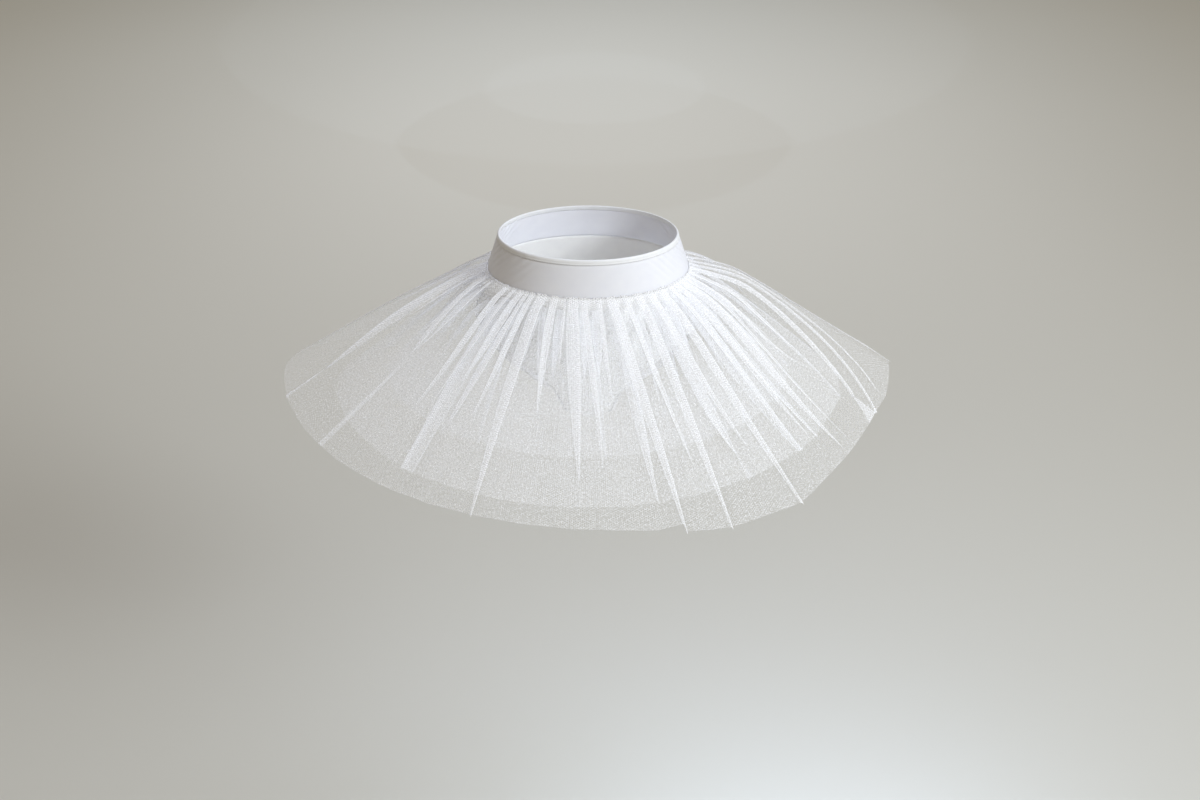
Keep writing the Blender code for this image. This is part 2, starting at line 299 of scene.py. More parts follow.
def knit_material(name, light_tone, dark_tone, rib_width):
    """Smooth stretch knit, with a faint mottle in its white."""
    material, tree, shader = new_material(name, Sheen_Weight=0.15, Sheen_Roughness=0.4)
    ribs = use_group(tree, knit, cloth_place(tree), Rib_Width=rib_width)
    put(tree, mix_colour(tree, ribs["Shade"], dark_tone, light_tone), shader.inputs["Base Color"])
    put(tree, remap(tree, ribs["Shade"], 0.0, 1.0, *KNIT_ROUGHNESS), shader.inputs["Roughness"])
    add_bump(tree, shader, ribs["Height"], KNIT_RELIEF)
    return material


BAND_WHITE = knit_material("band_knit", (0.87, 0.88, 0.965), (0.84, 0.85, 0.945), rib_width=0.0006)
EDGE_WHITE = knit_material("edge_knit", (0.91, 0.92, 0.97), (0.85, 0.86, 0.92), rib_width=0.0009)
BRIEF_WHITE = knit_material("brief_knit", (0.90, 0.90, 0.92), (0.86, 0.86, 0.89), rib_width=0.0007)
print("knits:", BAND_WHITE.name, EDGE_WHITE.name, BRIEF_WHITE.name)

# %% [markdown]
# Tulle is mostly holes. Its threads could be modelled, but a skirt has a hundred thousand holes,
# so each sheet is made partly see-through instead, by how much of each spot the threads cover.
# Fine lines run down from the gathers. Threads also scatter light onwards, so a sheet's shadow is
# made fainter than the sheet, or the inner nets would go grey.

# %% Gather lines
LINES_PER_METRE = 220.0
LINE_STRETCH = 0.018  # a line is drawn out along the net by one over this
LINES_FADE_BY = 0.18  # metres below the head
STREAKS, LINE_COVER = (0.38, 0.72), (-0.09, 0.17)  # noise from low to high, and what it adds


def gather_lines(tree, place):
    """Fine lines pressed into net by its gathers: strong at the waist, faint at the hem."""
    split = split_vector(tree, place)
    drawn_out = tree.nodes.new("ShaderNodeCombineXYZ")
    put(tree, split["X"], drawn_out.inputs["X"])
    put(tree, calc(tree, "MULTIPLY", split["Y"], LINE_STRETCH), drawn_out.inputs["Y"])
    streak = noise(tree, drawn_out.outputs[0], LINES_PER_METRE, 3.0)
    line = remap(tree, streak, *STREAKS, *LINE_COVER)
    strength = remap(tree, split["Y"], 0.0, LINES_FADE_BY, 1.0, 0.2)
    return calc(tree, "MULTIPLY", line, strength)


print("gather lines fade by", LINES_FADE_BY, "m")

# %% Tulle
TULLE_TONE, SHADE_BETWEEN_THREADS = (0.96, 0.955, 0.97), 0.96
HOLE_SIZE = 0.0027
CREASE_COVER = 0.65  # a crease shows whiter, partly because its threads are doubled there and partly as a painted highlight; marks below zero are painted shade
PASSED_ON = 0.58  # share of the light caught by a thread that goes on into the layers behind

TULLE, tree, shader = new_material("tulle", Roughness=0.85, Specular_IOR_Level=0.2)
holes = use_group(
    tree, net, cloth_place(tree),
    Hole_Size=HOLE_SIZE, Hole_Cover=0.03, Thread_Cover=0.53, Unevenness=1.65,
)
# The crease marks make the net whiter at the stitching and at its creases, the creases partly as a painted
# highlight. They make it thinner beside and inside the folds and under the top skirt's head, which is
# painted shade.
crease = tree.nodes.new("ShaderNodeAttribute")
crease.attribute_name = "crease"
crease_cover_and_painted_light = calc(tree, "MULTIPLY", crease.outputs["Fac"], CREASE_COVER)
cover = calc(tree, "ADD", holes["Cover"], crease_cover_and_painted_light)
cover = calc(tree, "ADD", cover, gather_lines(tree, cloth_place(tree)), clamp=True)
is_shadow = tree.nodes.new("ShaderNodeLightPath").outputs["Is Shadow Ray"]
stopped = calc(tree, "SUBTRACT", 1.0, calc(tree, "MULTIPLY", is_shadow, PASSED_ON))
put(tree, calc(tree, "MULTIPLY", cover, stopped), shader.inputs["Alpha"])
shade = tuple(value * SHADE_BETWEEN_THREADS for value in TULLE_TONE)
put(tree, mix_colour(tree, holes["Cover"], shade, TULLE_TONE), shader.inputs["Base Color"])
print("tulle with holes", HOLE_SIZE * 1000, "mm wide")

# %% Thread
TWISTS_PER_METRE, TWIST_RELIEF = 2600.0, 0.00008

THREAD, tree, shader = new_material("thread", Roughness=0.5)
twist = noise(tree, tree.nodes.new("ShaderNodeTexCoord").outputs["Object"], TWISTS_PER_METRE)
put(tree, mix_colour(tree, twist, (0.80, 0.80, 0.82), (0.95, 0.95, 0.96)), shader.inputs["Base Color"])
add_bump(tree, shader, twist, TWIST_RELIEF)
print("thread twisted", TWISTS_PER_METRE / 1000, "times to the millimetre")

# %% Floor material
FLOOR_PATCHES = 0.6  # to the metre

material, tree, shader = new_material("floor_paint", Roughness=0.9)
place = tree.nodes.new("ShaderNodeTexCoord").outputs["Object"]
tone = remap(tree, noise(tree, place, FLOOR_PATCHES, 1.0), 0.3, 0.7, 0.0, 1.0)
put(tree, mix_colour(tree, tone, (0.66, 0.655, 0.63), (0.68, 0.675, 0.65)), shader.inputs["Base Color"])
floor.data.materials.append(material)
print("floor painted with", material.name)

# %% [markdown]
# ## The figure's rings
# Every piece is laid on the same rings as the solid model: ellipses round the waist that widen
# downwards. A place on the garment is a turn round the figure and a drop below the top edge.

# %% Rings
WAIST_HALF_WIDTH = 0.121
BAND_FOOT_HALF_WIDTH = 0.137
DEPTH_RATIO = 0.78
BAND_DROP = 0.050


def figure_half_width(drop):
    """Half the width of the ring at a drop below the top edge."""
    return WAIST_HALF_WIDTH + (BAND_FOOT_HALF_WIDTH - WAIST_HALF_WIDTH) * drop / BAND_DROP


def ring_points(half_width, turn, z, outward):
    """Points on a ring, moved outward square to it. Works on arrays."""
    half_depth = half_width * DEPTH_RATIO
    out_x, out_y = np.sin(turn) / half_width, -np.cos(turn) / half_depth
    length = np.hypot(out_x, out_y)
    x = half_width * np.sin(turn) + out_x / length * outward
    y = -half_depth * np.cos(turn) + out_y / length * outward
    return np.stack(np.broadcast_arrays(x, y, z), axis=-1)


def add_up(steps):
    """Running total along each row, from 0."""
    return np.hstack((np.zeros((len(steps), 1)), np.cumsum(steps, axis=1)))


def loop_steps(points):
    """Length of each step round a closed loop of points."""
    return np.linalg.norm(np.diff(points, axis=0, append=points[:1]), axis=1)


def ring_length(half_width):
    """Length round an ellipse."""
    turns = np.linspace(0, math.tau, 721)
    points = ring_points(half_width, turns, 0.0, 0.0)
    return float(np.linalg.norm(np.diff(points, axis=0), axis=1).sum())


print("waist", round(ring_length(WAIST_HALF_WIDTH), 3), "m round")

# %% Helpers: cloth from a grid
def new_piece(name, points, faces, material):
    """A smoothly shaded object from lists of points and faces."""
    mesh = bpy.data.meshes.new(name)
    mesh.from_pydata(points, [], faces)
    mesh.materials.append(material)
    mesh.shade_smooth()
    return link(name, mesh)


def grid_piece(name, points, material, places, closed=False):
    """A piece from a grid of points [row, column]. places are on the flat cloth, in metres: one
    for each point, or one for each corner of each face."""
    rows, columns = points.shape[:2]
    index = np.arange(rows * columns).reshape(rows, columns)
    j = np.arange(columns if closed else columns - 1)
    k = (j + 1) % columns
    corners = np.stack((index[:-1][:, j], index[1:][:, j], index[1:][:, k], index[:-1][:, k]), axis=-1)
    if places.ndim == 3:
        places = places.reshape(-1, 2)[corners.reshape(-1)]
    piece = new_piece(name, points.reshape(-1, 3).tolist(), corners.reshape(-1, 4).tolist(), material)
    layer = piece.data.uv_layers.new(name="cloth")
    layer.data.foreach_set("uv", places.astype(np.float32).ravel())
    return piece


def weld(piece, distance=1e-6):
    """Merges points that lie together, and turns all faces outward."""
    work = bmesh.new()
    work.from_mesh(piece.data)
    bmesh.ops.remove_doubles(work, verts=work.verts, dist=distance)
    bmesh.ops.recalc_face_normals(work, faces=work.faces)
    work.to_mesh(piece.data)
    work.free()


def thicken(piece, wall):
    """Gives an open surface its wall, half to each side."""
    solidify = piece.modifiers.new("wall", "SOLIDIFY")
    solidify.thickness = wall
    solidify.offset = 0.0
    solidify.use_even_offset = True


# %% [markdown]
# ## Waistband
# The band is one layer of firm stretch knit, wider at its foot, with its top edge turned over an
# elastic. A twin needle leaves two rows of short stitches there, and each row pulls a shallow
# groove into the cloth. The band is a closed shell, because its inside shows where the garment
# is open.

# %% Smooth curves through a table
def on_curve(values, at):
    """Values at places along evenly spaced values, on a curve that never swings past them."""
    values, at = np.asarray(values, float), np.asarray(at, float)
    i = np.clip(at.astype(int), 0, len(values) - 2)
    share = at - i
    rise = np.diff(values)
    before, after = np.append(rise[:1], rise), np.append(rise, rise[-1:])
    same_way = before * after > 0
    slope = np.where(same_way, 2 * before * after / np.where(same_way, before + after, 1), 0)
    slope[0], slope[-1] = rise[0], rise[-1]
    square, cube = share**2, share**3
    return (
        (2 * cube - 3 * square + 1) * values[i] + (cube - 2 * square + share) * slope[i]
        + (3 * square - 2 * cube) * values[i + 1] + (cube - square) * slope[i + 1]
    )


print("half way up a soft step:", on_curve((0, 0, 1, 1), 1.5))

# %% Puckers
LEFT_PUCKERS, RIGHT_PUCKERS = math.radians(61), math.radians(70)  # turns at which they are deepest
PUCKER_DEPTH, PUCKER_SPREAD = 0.0030, 0.30
PUCKER_FADE = 0.6  # share of the band's depth that they run down
PUCKERS_TO_TURN, PUCKER_SLANT = 50, 20
BAND_COLUMNS = 600


def band_turns():
    """Turns of the columns that the band and its edge share."""
    return np.linspace(-math.pi, math.pi, BAND_COLUMNS, endpoint=False)


def puckers(turns, down):
    """Small slanting creases that the stitching pulls into each end of the band."""
    side = np.minimum(np.abs(turns), math.pi - np.abs(turns))
    place = np.exp(-((side - np.where(turns < 0, LEFT_PUCKERS, RIGHT_PUCKERS)) / PUCKER_SPREAD) ** 2)
    uneven = 0.65 + 0.35 * np.sin(9 * turns + 1)
    depth = PUCKER_DEPTH * math.exp(-((down / PUCKER_FADE) ** 2)) * uneven
    wave = np.sin(side * PUCKERS_TO_TURN - down * PUCKER_SLANT + 1.2 * np.sin(turns * 7))
    return -depth * place * (0.5 + 0.5 * wave) ** 2


print("puckers up to", PUCKER_DEPTH * 1000, "mm deep")


# %% Helpers: band pieces
def ring_places(turns, heights):
    """Places on the flat cloth for a band's grid."""
    along = turns * ring_length(figure_half_width(BAND_DROP / 2)) / math.tau
    return np.stack(np.broadcast_arrays(along[None, :], np.asarray(heights)[:, None]), axis=-1)


def declare(piece, slot, nodes=(), **sheet):
    """Attaches a piece to the root, hides the solid parts that it stands for, and prints its faces."""
    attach(piece, "root")
    if nodes:
        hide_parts(*nodes)
    print(piece.name, len(piece.data.polygons), "faces")


# %% Waistband
BAND_WALL, BAND_ROWS = 0.0018, 26
CASING_DROP, SEAM_GAP = 0.0065, 0.0003
EDGE_ROUNDING = 0.4  # share of its wall that an edge loses
GROOVE_DEPTH, GROOVE_WIDTH = 0.00045, 0.0012  # pulled in by the lower row of stitches
BAND_MIDDLE = 0.03  # drop at which the band's length is taken


def make_waistband():
    """A closed shell: the outer face from the top down, and the inner face up again."""
    turns = band_turns()
    top, foot = CASING_DROP + SEAM_GAP, BAND_DROP - SEAM_GAP
    outer, inner = [], []
    for drop in np.linspace(top, foot, BAND_ROWS):
        down = (drop - top) / (foot - top)
        edge = BAND_WALL * EDGE_ROUNDING * abs(2 * down - 1) ** 14
        groove = GROOVE_DEPTH * math.exp(-(((drop - top) / GROOVE_WIDTH) ** 2))
        sway = puckers(turns, down)
        half_width = figure_half_width(drop)
        outer.append(ring_points(half_width, turns, -drop, sway - edge - groove))
        inner.append(ring_points(half_width, turns, -drop, 0.5 * sway - BAND_WALL + edge))
    points = np.concatenate((outer, inner[::-1], outer[:1]))
    drops = np.linspace(0, 2 * (foot - top), len(points))
    piece = grid_piece("waistband_knit", points, BAND_WHITE, ring_places(turns, drops), closed=True)
    weld(piece)
    declare(
        piece, "knit", ["waistband"], held="stretched", rests_on=["waist_casing_knit"],
        flat=(round(ring_length(figure_half_width(BAND_MIDDLE)), 3), round(foot - top, 4)),
    )


# %% Turned edge
CASING_WALL, CASING_SECTION = 0.0030, 28
SQUARE_ACROSS, SQUARE_UP = 0.6, 0.7  # 1 is an oval, and less is squarer
PINCH_DEPTH, PINCH_WIDTH, PINCH_DROP = 0.0006, 0.0006, 0.0010  # made by the upper row of stitches
CASING_ROUND = 0.017  # length of cloth round the roll
CASING_CUT = 0.0115  # width of the strip that goes over the elastic


def squared(value, power):
    """A sine or cosine drawn out towards a square's side."""
    return math.copysign(abs(value) ** power, value)


def make_casing():
    """The turned edge: a soft flat roll."""
    turns = band_turns()
    middle = CASING_DROP / 2
    half_width = figure_half_width(middle)
    rows = []
    for k in range(CASING_SECTION + 1):
        angle = math.tau * k / CASING_SECTION
        outward = squared(math.cos(angle), SQUARE_ACROSS) * CASING_WALL / 2
        above = squared(math.sin(angle), SQUARE_UP) * CASING_DROP / 2
        if outward > 0:
            outward -= PINCH_DEPTH * math.exp(-(((above + PINCH_DROP) / PINCH_WIDTH) ** 2))
        lean = -above * (BAND_FOOT_HALF_WIDTH - WAIST_HALF_WIDTH) / BAND_DROP
        sway = puckers(turns, 0.0) * 0.5 * (0.5 - above / CASING_DROP)
        rows.append(ring_points(half_width, turns, above - middle, outward + lean - BAND_WALL / 2 + sway))
    places = ring_places(turns, np.linspace(0, CASING_ROUND, CASING_SECTION + 1))
    piece = grid_piece("waist_casing_knit", np.array(rows), EDGE_WHITE, places, closed=True)
    weld(piece)
    declare(
        piece, "knit", ["waist_casing"], held="stretched", rests_on=["waistband_knit"],
        flat=(round(ring_length(half_width), 3), CASING_CUT),
    )


make_casing()
make_waistband()

# %% [markdown]
# Stitches are short, thick in the middle and pinched at their ends. One helper lays them along
# any list of segments, and makes all the stitches of a seam one piece.

# %% Stitches
STITCH_SIDES, STITCH_ROWS = 6, 5
THREAD_RISE, THREAD_FLATNESS = 0.35, 0.8  # how far a stitch stands up, and how oval it is
THREAD_TAIL = 0.25  # least thickness, where it enters the cloth


def make_stitches(name, segments, thickness, slot):
    """Short thread stitches along segments of (start, end, up)."""
    profile = np.sin(np.linspace(0, math.pi, STITCH_ROWS)) ** 0.5
    vertices, faces = [], []
    for start, end, above in segments:
        side = np.cross(end - start, above)
        side /= np.linalg.norm(side)
        first = len(vertices)
        for k, size in enumerate(profile):
            centre = start + (end - start) * k / (STITCH_ROWS - 1) + above * thickness * THREAD_RISE * size
            for corner in range(STITCH_SIDES):
                angle = math.tau * corner / STITCH_SIDES
                round_it = side * math.cos(angle) + above * THREAD_FLATNESS * math.sin(angle)
                vertices.append(centre + round_it * thickness / 2 * max(size, THREAD_TAIL))
        last = first + (STITCH_ROWS - 1) * STITCH_SIDES
        for ring in range(first, last, STITCH_SIDES):
            for corner in range(STITCH_SIDES):
                a, b = ring + corner, ring + (corner + 1) % STITCH_SIDES
                faces.append((a, b, b + STITCH_SIDES, a + STITCH_SIDES))
        faces.append(tuple(range(first + STITCH_SIDES - 1, first - 1, -1)))
        faces.append(tuple(range(last, last + STITCH_SIDES)))
    declare(new_piece(name, [tuple(vertex) for vertex in vertices], faces, THREAD), slot)


# %% Twin row on the band
TWIN_ROWS = ((0.0043, -0.00025), (0.0068, -0.0004))  # drop below the top edge, and outward
STITCH_PITCH, STITCH_SHARE = 0.0034, 0.78  # share of the pitch that the thread covers


def ring_stitches(drop, outward):
    """Segments for one row of stitches round the band."""
    half_width = figure_half_width(drop)
    count = round(ring_length(half_width) / STITCH_PITCH)
    turns = np.linspace(0, math.tau, count, endpoint=False)
    reach = math.tau / count * STITCH_SHARE / 2
    starts = ring_points(half_width, turns - reach, -drop, outward)
    ends = ring_points(half_width, turns + reach, -drop, outward)
    ups = ring_points(half_width, turns, -drop, 1.0) - ring_points(half_width, turns, -drop, 0.0)
    return list(zip(starts, ends, ups))


twin_rows = [stitch for row in TWIN_ROWS for stitch in ring_stitches(*row)]
make_stitches("casing_stitches", twin_rows, thickness=0.00055, slot="knit")

# %% [markdown]
# ## Brief
# The brief is sewn to the inside of the band's foot. Its front, back and gusset are laid out by
# rows from a table: each row runs from edge to edge and is bowed round the figure. A narrow
# turned binding finishes each leg. Through the net it shows only as pale edges.

# %% Brief sizes
# Each row: y and z at its middle, x, y and z at its edge, and the degrees that it wraps.
BRIEF_FRONT = (
    (-0.1069, -0.0503, 0.1371, -0.0003, -0.0503, 90),
    (-0.1141, -0.0790, 0.1463, -0.0003, -0.0790, 90),
    (-0.1180, -0.1050, 0.1500, -0.0003, -0.1040, 90),
    (-0.1205, -0.1330, 0.1440, -0.0430, -0.1150, 80),
    (-0.1200, -0.1620, 0.1120, -0.0860, -0.1300, 65),
    (-0.1130, -0.1920, 0.0740, -0.1010, -0.1520, 50),
    (-0.0980, -0.2190, 0.0470, -0.0940, -0.1850, 45),
    (-0.0740, -0.2410, 0.0370, -0.0700, -0.2220, 45),
    (-0.0400, -0.2560, 0.0340, -0.0385, -0.2480, 45),
)
BRIEF_GUSSET = (
    (-0.0394, -0.2562, 0.0340, -0.0379, -0.2482, 45),
    (-0.0180, -0.2620, 0.0330, -0.0170, -0.2565, 45),
    (0.0050, -0.2655, 0.0330, 0.0050, -0.2612, 45),
    (0.0274, -0.2679, 0.0345, 0.0264, -0.2639, 45),
)
BRIEF_BACK = (
    (0.1069, -0.0503, 0.1371, 0.0003, -0.0503, 90),
    (0.1141, -0.0790, 0.1463, 0.0003, -0.0790, 90),
    (0.1230, -0.1080, 0.1500, 0.0003, -0.1040, 90),
    (0.1330, -0.1420, 0.1560, 0.0330, -0.1350, 85),
    (0.1390, -0.1780, 0.1510, 0.0680, -0.1780, 75),
    (0.1370, -0.2130, 0.1300, 0.0900, -0.2230, 65),
    (0.1240, -0.2430, 0.1000, 0.0930, -0.2530, 55),
    (0.0980, -0.2620, 0.0700, 0.0790, -0.2680, 45),
    (0.0620, -0.2690, 0.0450, 0.0530, -0.2690, 45),
    (0.0280, -0.2680, 0.0345, 0.0270, -0.2640, 45),
)
print("brief laid out in", len(BRIEF_FRONT + BRIEF_GUSSET + BRIEF_BACK), "rows")

# %% Rows of a panel
BRIEF_STEPS = 6  # rows of the mesh for each row of the table


def brief_grid(table, across):
    """Points of a panel: a smooth row between the table's rows, at places from -1 to 1."""
    at = np.linspace(0, len(table) - 1, (len(table) - 1) * BRIEF_STEPS + 1)
    columns = (on_curve(column, at)[:, None] for column in zip(*table))
    mid_y, mid_z, edge_x, edge_y, edge_z, wrap = columns
    wrap = np.radians(wrap)
    bow = (np.cos(across * wrap) - np.cos(wrap)) / (1 - np.cos(wrap))
    x = edge_x * np.sin(across * wrap) / np.sin(wrap)
    return np.stack((x, edge_y + (mid_y - edge_y) * bow, edge_z + (mid_z - edge_z) * bow), axis=-1)


def spread_on_cloth(points):
    """Places on the flat cloth: across from the middle column, and down it."""
    middle = points.shape[1] // 2
    across = add_up(np.linalg.norm(np.diff(points, axis=1), axis=2))
    across -= across[:, [middle]]
    along = add_up([np.linalg.norm(np.diff(points[:, middle], axis=0), axis=1)])
    return np.stack(np.broadcast_arrays(across, along.T), axis=-1)


print("front panel, rows and columns:", brief_grid(BRIEF_FRONT, np.linspace(-1, 1, 61)).shape[:2])

# %% Brief panels
BRIEF_WALL = 0.0012
FLAT_EDGE = 0.12  # share of a panel that lies flat beside its seams
CREASES_ACROSS, CREASES_DOWN = 14, 22
CREASE_AT, CREASE_SPREAD = 0.72, 0.2  # share of the way down


def make_brief_panel(node, table, columns, crease_height, rests_on):
    """A panel of knit with a few soft creases low down."""
    across = np.linspace(-1, 1, columns)
    points = brief_grid(table, across)
    places = spread_on_cloth(points)
    edge = 1 - np.abs(across)
    down = np.linspace(0, 1, len(points))[:, None]
    normal = np.cross(np.gradient(points, axis=0), np.gradient(points, axis=1))
    normal /= np.linalg.norm(normal, axis=-1, keepdims=True)
    fade = np.minimum(1, edge / FLAT_EDGE) * np.minimum(1, np.minimum(down, 1 - down) / FLAT_EDGE)
    wave = np.sin(np.abs(across) * CREASES_ACROSS + down * CREASES_DOWN)
    crease = wave * np.exp(-((down - CREASE_AT) / CREASE_SPREAD) ** 2)
    points = points + normal * (crease_height * crease * fade)[..., None]
    piece = grid_piece(f"{node}_knit", points, BRIEF_WHITE, places)
    thicken(piece, BRIEF_WALL)
    width, length = np.ptp(places.reshape(-1, 2), axis=0)
    cut = sum(face.area for face in piece.data.polygons)
    declare(
        piece, "knit", [node], held="stretched", rests_on=rests_on,
        flat=(round(float(width), 3), round(float(length), 3)), area=round(cut, 5),
    )


make_brief_panel("brief_front", BRIEF_FRONT, columns=61, crease_height=0.0006, rests_on=["waistband_knit"])
make_brief_panel("brief_back", BRIEF_BACK, columns=71, crease_height=0.0009, rests_on=["waistband_knit"])
make_brief_panel("brief_gusset", BRIEF_GUSSET, columns=21, crease_height=0.0, rests_on=["brief_front_knit"])

# %% [markdown]
# Each leg edge is turned and stitched. Its binding follows the edges of the front, the gusset and
# the back as one closed loop, with a section that has soft corners and a groove for the stitches.
# It is laid for the right leg, and mirrored for the left.

# %% Leg opening
BINDING_WIDTH = 0.007
LEG_LINE_STARTS = 2  # row at which the side seam ends and the leg opening begins
EDGE_POINTS = 41  # of the half row on which the binding's width is measured


def leg_edge():
    """Points round the +X leg opening: (edge, inner, normal), from the front to the back."""
    across = np.linspace(0.5, 1, EDGE_POINTS)
    loop = []
    for table, way in ((BRIEF_FRONT, 1), (BRIEF_GUSSET, 1), (BRIEF_BACK, -1)):
        first = 0 if table is BRIEF_GUSSET else LEG_LINE_STARTS * BRIEF_STEPS
        rows = brief_grid(table, across)[first:][::way]
        inner = []
        for row in rows:
            from_edge = np.linalg.norm(row - row[-1], axis=1)[::-1]
            inner.append([np.interp(BINDING_WIDTH, from_edge, row[::-1, axis]) for axis in range(3)])
        inner = np.array(inner)
        normal = np.cross(inner - rows[:, -1], np.gradient(inner, axis=0))
        normal /= np.linalg.norm(normal, axis=1, keepdims=True)
        loop += list(zip(rows[:, -1], inner, normal))
    return loop


print("leg opening has", len(leg_edge()), "points")

# %% Leg bindings
BINDING_WALL, BINDING_LIFT = 0.0010, 0.0007
BINDING_CUT = 0.0105  # width of the strip
BINDING_SECTION = (  # share of the width from the edge, and of the wall
    (0, 0.2), (0.12, 0.0), (0.88, 0.0), (1, 0.2), (1, 0.7),
    (0.9, 1), (0.72, 0.8), (0.5, 1), (0.1, 1), (0, 0.7),
)
STITCH_GROOVE = 6  # point of the section
STITCH_FROM, STITCH_TO = 0.15, 0.85  # shares of the step to the next point


def make_binding(side, mirror):
    """A narrow turned edge, and one row of stitches along it."""
    near = BRIEF_WALL / 2 + BINDING_LIFT
    flip = np.array([mirror, 1, 1])
    edges, inners, normals = (np.array(column) for column in zip(*leg_edge()))
    rows = np.array([
        (edges + (inners - edges) * x + normals * (near + y * BINDING_WALL)) * flip
        for x, y in BINDING_SECTION
    ])
    length = loop_steps(edges)
    u = np.cumsum(length) - length[0]
    v = np.linspace(0, 2 * BINDING_WIDTH, len(BINDING_SECTION))
    places = np.stack(np.broadcast_arrays(v[:, None], u[None, :]), axis=-1)
    rows, places = (np.concatenate((grid, grid[:1])) for grid in (rows, places))
    piece = grid_piece(f"leg_binding_{side}_knit", rows, EDGE_WHITE, places, closed=True)
    weld(piece)
    cut = sum(face.area for face in piece.data.polygons) / 2
    declare(
        piece, "knit", [f"leg_binding_{side}"], held="stretched", area=round(cut, 5),
        rests_on=["brief_front_knit", "brief_back_knit"], flat=(round(float(length.sum()), 3), BINDING_CUT),
    )
    groove = rows[STITCH_GROOVE]
    onward = np.roll(groove, -1, axis=0) - groove
    segments = list(zip(groove + onward * STITCH_FROM, groove + onward * STITCH_TO, normals * flip))
    make_stitches(f"leg_stitches_{side}", segments[:-1], thickness=0.0005, slot="knit")


make_binding("right", 1)
make_binding("left", -1)

# %% [markdown]
# ## Tulle skirts
# Tulle is a straight strip, two or three times as long as the waist, drawn up along one edge.
# Near the stitching the spare cloth lies in folds of three layers. Away from the waist the
# ring grows longer, so each fold opens into a wedge that ends in a point, and only the
# strongest run to the hem. Cloth simulation would blur these sharp wedges, so they are laid by
# rule. A skirt is one grid of points: rows go from head to hem, and each fold is a Z of eleven
# columns whose width shrinks along the rows.

# %% Skirt sizes
Skirt = namedtuple("Skirt", "name drop length folds rows crease seed")
SKIRTS = (
    Skirt("top", 0.0503, 0.318, 50, 46, 1.0, 3),
    Skirt("middle", 0.0640, 0.262, 42, 38, 1.3, 5),
    Skirt("lower", 0.0770, 0.180, 36, 28, 1.4, 8),
)
# How each skirt hangs, in degrees below level, every 30 degrees from centre back round to centre
# back. The top skirt also swells up: puff is most near the band, and bow is most half way down.
# Raised is how far its head rides up the band's foot.
SLOPES = {
    "top": (49, 47, 39, 30, 36, 40, 41, 41, 36, 30, 38, 46, 49),
    "middle": (56, 54, 47, 39, 44, 49, 51, 49, 44, 38, 45, 53, 56),
    "lower": (63, 61, 55, 47, 52, 57, 60, 57, 52, 46, 53, 60, 63),
    "puff": (0.002, 0.002, 0.001, 0, 0, 0, 0, 0.001, 0.006, 0.014, 0.008, 0, 0.002),
    "bow": (0, 0.002, 0.005, 0.002, 0, 0, 0, 0, 0, 0, 0, 0, 0),
    "raised": (0, 0, 0, 0, 0, 0, 0, 0, 0.001, 0, 0, 0, 0),
}
SLOPE_TURNS, HEM_TURNS = 30, 15  # degrees between two entries
# Length of the top skirt over its mean, from centre back round to centre back.
HEM = (
    1.00, 1.00, 0.99, 1.00, 0.995, 1.075, 1.035, 1.012, 0.995, 0.985, 0.98, 0.985,
    0.992, 1.01, 1.052, 1.062, 1.01, 0.98, 1.03, 0.99, 0.985, 0.99, 0.99, 1.00, 1.00,
)
print("skirts", [skirt.length for skirt in SKIRTS], "m long")


def around(values, turns, spacing):
    """Values of a table at any turns, given in radians."""
    return on_curve(values, (np.degrees(turns) + 180) / spacing)


# %% How a skirt falls
TULLE_WALL = 0.0010
HEAD_CLEARANCE = 0.0020
HEAD_SLOPE, HEAD_BEND = 22, 0.025  # the net leaves the band nearly level, and bends down
HUG, HUG_FADE = 0.0012, 0.003  # how much closer it lies right at its stitching
RAISE_FADE = 0.25
PUFF_AT = 0.25  # share of the length at which the gathers swell most
PROFILE_STEPS = 90


